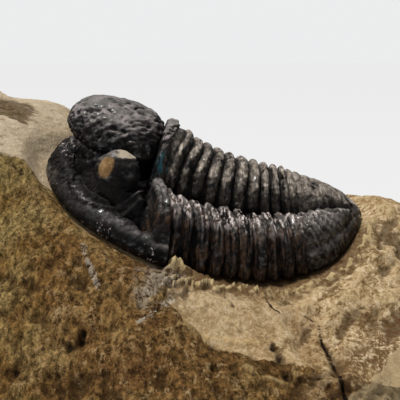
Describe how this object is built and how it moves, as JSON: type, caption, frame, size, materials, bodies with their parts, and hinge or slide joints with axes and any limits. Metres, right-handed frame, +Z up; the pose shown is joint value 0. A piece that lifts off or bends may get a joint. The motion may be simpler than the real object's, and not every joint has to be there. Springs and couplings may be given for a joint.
{
  "type": "trilobite fossil on limestone matrix",
  "caption": "Black trilobite with a ball-like glabella, turret eyes and ribbed thorax, prepared out of a sloping block of rough brown limestone with a flat base.",
  "frame": {"origin": "centre of the stone's flat base", "axes": "+X along the stone's length, from the animal's head towards its tail; +Y to the far side; +Z up out of the base"},
  "size_m": [0.059, 0.047, 0.0249],
  "materials": {
    "fossil_shell": "semi-gloss black calcite shell, pitted and grained",
    "limestone": "rough ochre-brown to beige limestone, dull"
  },
  "bodies": {
    "root": {"trilobite": "fossil_shell", "matrix": "limestone"}
  },
  "joints": []
}
